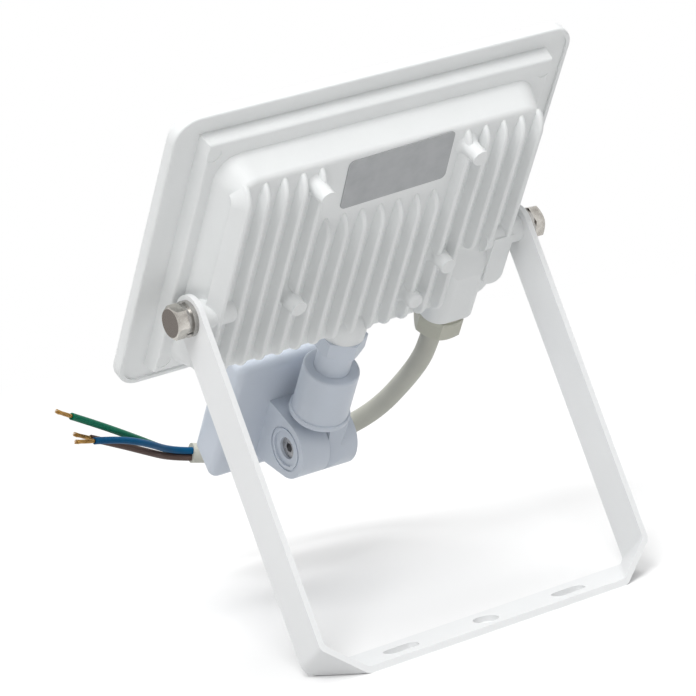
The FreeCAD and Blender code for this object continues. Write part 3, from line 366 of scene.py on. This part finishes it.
milkyLens = makeMaterial("milkyLens", mouldGrain, {
    "Colour": colour(0.84, 0.84, 0.84), "Drift": colour(0.80, 0.80, 0.81), "Scale": 2000.0, "Roughness": 0.3,
}, {"strength": 0.6, "distance": 0.0004}, {"Specular IOR Level": 0.5, "Subsurface Weight": 0.2,
                                           "Subsurface Radius": (0.002, 0.002, 0.002)})


lensFacets = {
    "scale": 190.0,
    "unevenness": 0.3,
    "seamWidth": 0.09,
    "ringCount": 75.0,
    "ringHeight": 0.06,
}


def facetLens():
    # moulded facets of the lens: shallow cells with raised seams, and fine rings in each
    shade = Shade(milkyLens.node_tree)
    values = {"Vector": shade.place(), "Scale": lensFacets["scale"], "Randomness": lensFacets["unevenness"]}
    seam = shade.node("ShaderNodeTexVoronoi", values, feature="DISTANCE_TO_EDGE").outputs["Distance"]
    middle = shade.node("ShaderNodeTexVoronoi", values, feature="F1").outputs["Distance"]
    rings = shade.math("SINE", shade.math("MULTIPLY", middle, lensFacets["ringCount"]))
    ridge = shade.math("SUBTRACT", 1.0, shade.ramp(seam, 0.0, lensFacets["seamWidth"]))
    height = shade.math("ADD", ridge, shade.math("MULTIPLY", rings, lensFacets["ringHeight"]))
    relief = next(node for node in milkyLens.node_tree.nodes if node.type == "BUMP")
    shade.link(height, relief.inputs["Height"])


facetLens()

greenCore = makeMaterial("greenCore", mouldGrain, {
    "Colour": colour(0.001, 0.15, 0.08), "Drift": colour(0.001, 0.12, 0.066),
    "Scale": 1500.0, "Roughness": 0.4,
}, {"strength": 0.2, "distance": 0.00006}, {"Specular IOR Level": 0.12})

blueCore = makeMaterial("blueCore", mouldGrain, {
    "Colour": colour(0.001, 0.078, 0.19), "Drift": colour(0.001, 0.063, 0.16),
    "Scale": 1500.0, "Roughness": 0.4,
}, {"strength": 0.2, "distance": 0.00006}, {"Specular IOR Level": 0.12})

brownCore = makeMaterial("brownCore", mouldGrain, {
    "Colour": colour(0.105, 0.068, 0.058), "Drift": colour(0.085, 0.054, 0.046),
    "Scale": 1500.0, "Roughness": 0.4,
}, {"strength": 0.2, "distance": 0.00006}, {"Specular IOR Level": 0.12})

copperStrand = makeMaterial("copperStrand", metalGrain, {
    "Colour": colour(0.52, 0.31, 0.10), "Dull": colour(0.26, 0.14, 0.045), "Stretch": (60.0, 2500.0, 2500.0),
    "Roughness": 0.28,
}, {"strength": 0.15, "distance": 0.00003}, {"Metallic": 1.0})


window = {
    "tint": colour(0.93, 0.97, 0.95),
    "index": 1.5,
    "hazeScale": 30.0,
    "hazeEdges": (0.3, 0.8),
    "haze": 0.06,
}


def makeGlass():
    material = bpy.data.materials.new("windowGlass")
    material.use_nodes = True
    shade = Shade(material.node_tree)
    principled = material.node_tree.nodes["Principled BSDF"]
    film = shade.noise(shade.place(), window["hazeScale"], detail=4.0, roughness=0.6)
    mask = shade.ramp(film, *window["hazeEdges"])
    shade.link(shade.math("MULTIPLY", mask, window["haze"]), principled.inputs["Roughness"])
    for key, value in {"Base Color": window["tint"], "Transmission Weight": 1.0, "IOR": window["index"]}.items():
        principled.inputs[key].default_value = value
    return material


windowGlass = makeGlass()
print("stage: materials made,", len(bpy.data.materials))

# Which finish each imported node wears
finishes = {
    "rear_housing": housingCoat, "front_glass": windowGlass, "glass_gasket": sealRubber,
    "reflector": reflectorWhite, "led_board": boardMask, "leds": phosphor, "board_screws": boltSteel,
    "label_plate": labelFilm, "pivot_bolts": boltSteel, "flat_washers": washerSteel,
    "spring_washers": washerSteel, "gland_body": glandPlastic, "gland_nut": glandPlastic,
    "gland_seal": sheathRubber, "sensor_neck": sensorPlastic, "sensor_nut": sensorPlastic,
    "swivel_socket": sensorPlastic, "knuckle_screw": darkScrew, "knuckle_nut": washerSteel,
    "sensor_shell": sensorPlastic, "sensor_cover": sensorPlastic, "sensor_lens": milkyLens,
    "sensor_board": greenBoard, "pir_element": canSteel, "relay": relayBlack, "bracket": bracketCoat,
    "knob_time": knobPlastic, "knob_lux": knobPlastic, "knob_sens": knobPlastic,
}
for name, finish in finishes.items():
    for entry in nodes[name].material_slots:
        entry.material = finish
    if not nodes[name].material_slots:
        nodes[name].data.materials.append(finish)
print("stage: finishes given to", len(finishes), "nodes")

# Mesh helpers


def skinRings(shape, rings):
    # closes a row of outlines into a skin, and gives back the face on the last one
    shape.faces.new(list(reversed(rings[0])))
    for before, after in zip(rings, rings[1:]):
        for corner in range(len(before)):
            ahead = (corner + 1) % len(before)
            shape.faces.new((before[corner], before[ahead], after[ahead], after[corner]))
    return shape.faces.new(rings[-1])


def addMesh(name, shape, finishes):
    bmesh.ops.recalc_face_normals(shape, faces=shape.faces)
    mesh = bpy.data.meshes.new(name)
    shape.to_mesh(mesh)
    shape.free()
    for finish in finishes:
        mesh.materials.append(finish)
    return addObject(name, mesh)


# Light chips: a white package with a sunk yellow window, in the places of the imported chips
ledChips = {
    "columns": 8, "rows": 5,
    "pitch": (9.786, 9.3),
    "size": (3.5, 2.8, 0.7),
    "boardLevel": 3.0,
    "middleHeight": 14.05,
    "edge": 0.12,  # chamfer round the package
    "frame": 0.45,  # white border round the window
    "sink": 0.12,  # depth of the window
}


def chipRings():
    # half width, half height and level of each outline of a chip, from the board up and into its window
    width, height, thick = ledChips["size"]
    edge, border, sink = ledChips["edge"], ledChips["frame"], ledChips["sink"]
    rings = [(0.0, 0.0), (0.0, thick - edge), (edge, thick), (border, thick), (border + sink, thick - sink)]
    return [(width / 2 - inset, height / 2 - inset, level) for inset, level in rings]


def makeLedChips():
    chips = bmesh.new()
    for column in range(ledChips["columns"]):
        for row in range(ledChips["rows"]):
            x = (column - (ledChips["columns"] - 1) / 2) * ledChips["pitch"][0]
            z = ledChips["middleHeight"] + (row - (ledChips["rows"] - 1) / 2) * ledChips["pitch"][1]
            rings = []
            for halfWidth, halfHeight, level in chipRings():
                y = ledChips["boardLevel"] + level
                corners = [(x - halfWidth, z - halfHeight), (x + halfWidth, z - halfHeight),
                           (x + halfWidth, z + halfHeight), (x - halfWidth, z + halfHeight)]
                rings.append([chips.verts.new(fromHead(across, y, up)) for across, up in corners])
            skinRings(chips, rings).material_index = 1
    made = addMesh("ledChips", chips, [reflectorWhite, phosphor])
    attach(made, "head")
    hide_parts("leds")


makeLedChips()
print("stage: light chips made")

# Mains cable and its three cores, route points as in the part
cable = {
    "sheathDiameter": 7.0 * mm,
    "sheath": [
        (43.9, 2.9, -41.15), (44.5, 3.7, -50.3), (45.8, 6.2, -60.0), (46.9, 11.5, -74.2),
        (46.9, 19.1, -92.8), (42.4, 25.3, -105.6), (32.2, 31.1, -115.2), (18.9, 35.5, -119.0),
        (8.0, 37.4, -118.2), (-3.2, 39.3, -116.6), (-12.8, 42.4, -116.0),
    ],
    "coreDiameter": 2.5 * mm,
    "coreOffset": 1.55,
    "coreStraight": 8.0,
    "cores": {
        "coreGreen": {"finish": greenCore, "angle": 257.0, "node": "core_green", "points": [
            (-32.2, 45.6, -106.6), (-42.7, 45.0, -98.8), (-55.3, 45.0, -90.1), (-66.9, 45.0, -82.5)]},
        "coreBlue": {"finish": blueCore, "angle": 17.0, "node": "core_blue", "points": [
            (-34.4, 40.8, -102.6), (-46.7, 41.0, -96.5), (-58.0, 41.0, -93.4)]},
        "coreBrown": {"finish": brownCore, "angle": 137.0, "node": "core_brown", "points": [
            (-33.4, 42.2, -108.0), (-44.6, 44.1, -102.5), (-56.8, 44.6, -95.8)]},
    },
}
copper = {
    "length": 9.0,
    "radius": 0.75,
    "strands": 12,
    "strandRadius": 0.2,
    "innerStrands": 3,
    "innerReach": 0.25,
    "twist": 2.4,  # radians from the root to the tip
    "unevenLength": 0.1,
    "flare": 0.25,  # how far the strands part at the tip
    "tipShare": 0.55,
    "lengthPhase": 2.3,  # radians between neighbouring strands
    "flarePhase": 1.7,
    "rings": 14,
    "sides": 6,
}
cordMesh = {
    "around": 8,
    "along": 10,
    "measured": 24,  # steps where only the length is wanted
}


def splineCurve(name, points, steps):
    curve = bpy.data.curves.new(name, "CURVE")
    curve.dimensions = "3D"
    curve.resolution_u = steps
    spline = curve.splines.new("NURBS")
    spline.points.add(len(points) - 1)
    for spot, place in zip(spline.points, points):
        spot.co = (*place, 1.0)
    spline.order_u = 3
    spline.use_endpoint_u = True
    return curve


def makeCord(name, points, diameter, finish):
    curve = splineCurve(name, points, cordMesh["along"])
    curve.bevel_depth = diameter / 2
    curve.bevel_resolution = cordMesh["around"]
    curve.use_fill_caps = True
    curve.materials.append(finish)
    return addObject(name, curve)


def curveLength(points):
    # length of the quadratic spline that these control points make
    holder = bpy.data.objects.new("measure", splineCurve("measure", points, cordMesh["measured"]))
    mesh = bpy.data.meshes.new_from_object(holder)
    ends = [[mesh.vertices[index].co for index in edge.vertices] for edge in mesh.edges]
    total = sum((first - second).length for first, second in ends)
    bpy.data.objects.remove(holder)
    bpy.data.meshes.remove(mesh)
    return total


def sheathEnd():
    # the end point of the sheath, the way it points there, and two directions across it
    last, before = (Vector(spot) for spot in (cable["sheath"][-1], cable["sheath"][-2]))
    along = (last - before).normalized()
    above = Vector((0, 1, 0)).cross(along).normalized()
    return last, along, above, above.cross(along)


def strandBundle(name, start, along, finish):
    # twisted copper strands that spread a little at the tip
    bundle = bmesh.new()
    side = along.orthogonal().normalized()
    other = along.cross(side)
    outerStrands = copper["strands"] - copper["innerStrands"]
    for strand in range(copper["strands"]):
        inner = strand >= outerStrands
        reach = copper["innerReach"] if inner else copper["radius"] - copper["strandRadius"]
        phase = 2 * math.pi * strand / (copper["innerStrands"] if inner else outerStrands)
        shorter = copper["unevenLength"] * (1 - math.sin(strand * copper["lengthPhase"]))
        length = copper["length"] * (1 - shorter)
        rings = []
        for step in range(copper["rings"] + 1):
            share = step / copper["rings"]
            angle = phase + copper["twist"] * share
            spread = reach * (1 + copper["flare"] * share * share * math.sin(strand * copper["flarePhase"]))
            middle = start + along * (length * share)
            middle += side * (spread * math.cos(angle)) + other * (spread * math.sin(angle))
            radius = copper["strandRadius"] * (copper["tipShare"] if step == copper["rings"] else 1.0)
            ring = []
            for corner in range(copper["sides"]):
                turn = 2 * math.pi * corner / copper["sides"]
                spot = middle + side * (radius * math.cos(turn)) + other * (radius * math.sin(turn))
                ring.append(bundle.verts.new(fromHead(*spot)))
            rings.append(ring)
        skinRings(bundle, rings)
    made = addMesh(name, bundle, [finish])
    for face in made.data.polygons:
        face.use_smooth = True
    return made


def makeCable():
    points = [fromHead(*spot) for spot in cable["sheath"]]
    sheath = makeCord("mainsCable", points, cable["sheathDiameter"], sheathRubber)
    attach(sheath, "head")
    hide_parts("mains_cord")
    curveLength(points)
    last, along, above, behind = sheathEnd()
    for name, core in cable["cores"].items():
        angle = math.radians(core["angle"])
        start = last + (above * math.cos(angle) + behind * math.sin(angle)) * cable["coreOffset"]
        route = [start, start + along * cable["coreStraight"]] + [Vector(spot) for spot in core["points"]]
        points = [fromHead(*spot) for spot in route]
        made = makeCord(name, points, cable["coreDiameter"], core["finish"])
        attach(made, "head")
        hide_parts(core["node"])
        tip = strandBundle(name + "Copper", route[-1], (route[-1] - route[-2]).normalized(), copperStrand)
        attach(tip, "head")
        if name == "coreGreen":  # the three bare ends are one node in the part
            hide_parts("core_ends")
        curveLength(points)


makeCable()
print("stage: cable laid")

# Floor, world and lamps
studio = {
    "floorReach": 12.0,  # from the middle to each side
    "floorColour": colour(0.95, 0.95, 0.95),
    "floorRoughness": 0.8,
    "shadowFade": (0.1925, 0.55),  # distance from the middle where the floor turns plain white
    "bounceColour": colour(0.66, 0.66, 0.66),
    "horizonLight": 0.14,
    "zenithLight": 0.86,
    "zenithHeight": 0.9,
    "lamps": {
        "key": {"place": (-0.85, -0.75, 1.55), "aim": (0, 0.05, 0.1), "size": 0.9, "power": 18.5},
        "top": {"place": (0.2, 0.3, 1.6), "aim": (0, 0.05, 0.1), "size": 1.2, "power": 7.0},
    },
}


def makeFloor():
    mesh = bpy.data.meshes.new("floor")
    reach = studio["floorReach"]
    corners = [(-reach, -reach, 0), (reach, -reach, 0), (reach, reach, 0), (-reach, reach, 0)]
    mesh.from_pydata(corners, [], [(0, 1, 2, 3)])
    floor = addObject("floor", mesh)
    material = bpy.data.materials.new("floorPaper")
    material.use_nodes = True
    shade = Shade(material.node_tree)
    principled = material.node_tree.nodes["Principled BSDF"]
    principled.inputs["Roughness"].default_value = studio["floorRoughness"]
    away = shade.node("ShaderNodeVectorMath", {0: shade.place()}, operation="LENGTH").outputs["Value"]
    far = shade.ramp(away, *studio["shadowFade"])
    seen = shade.node("ShaderNodeLightPath").outputs
    shade.link(shade.mix(seen["Is Camera Ray"], studio["bounceColour"], studio["floorColour"]),
               principled.inputs["Base Color"])
    mirrored = shade.math("MAXIMUM", seen["Is Glossy Ray"], seen["Is Transmission Ray"])
    white = shade.math("MAXIMUM", shade.math("MULTIPLY", far, seen["Is Camera Ray"]), mirrored)
    glow = shade.node("ShaderNodeEmission", {"Color": colour(1, 1, 1), "Strength": 1.0}).outputs[0]
    both = shade.node("ShaderNodeMixShader", {0: white, 1: principled.outputs[0], 2: glow}).outputs[0]
    shade.link(both, material.node_tree.nodes["Material Output"].inputs["Surface"])
    mesh.materials.append(material)


def makeWorld():
    world = bpy.data.worlds.new("studioWorld")
    bpy.context.scene.world = world
    world.use_nodes = True
    shade = Shade(world.node_tree)
    background = world.node_tree.nodes["Background"]
    seen = shade.node("ShaderNodeLightPath").outputs
    mirrored = shade.math("MAXIMUM", seen["Is Glossy Ray"], seen["Is Transmission Ray"])
    direct = shade.math("MAXIMUM", seen["Is Camera Ray"], mirrored)
    place = shade.node("ShaderNodeTexCoord").outputs["Generated"]
    height = shade.node("ShaderNodeSeparateXYZ", {0: place}).outputs["Z"]
    sky = shade.node("ShaderNodeMapRange", {
        "Value": height, "From Min": 0.0, "From Max": studio["zenithHeight"],
        "To Min": studio["horizonLight"], "To Max": studio["zenithLight"]}).outputs[0]
    background.inputs["Color"].default_value = colour(1, 1, 1)
    shade.link(shade.math("MAXIMUM", sky, direct), background.inputs["Strength"])


def makeLamps():
    for name, lamp in studio["lamps"].items():
        data = bpy.data.lights.new(name + "Lamp", "AREA")
        data.shape = "DISK"
        data.size = lamp["size"]
        data.energy = lamp["power"]
        made = addObject(name + "Lamp", data)
        made.location = lamp["place"]
        aim = Vector(lamp["aim"]) - Vector(lamp["place"])
        made.rotation_euler = aim.to_track_quat("-Z", "Y").to_euler()


makeFloor()
makeWorld()
makeLamps()
print("stage: studio set")
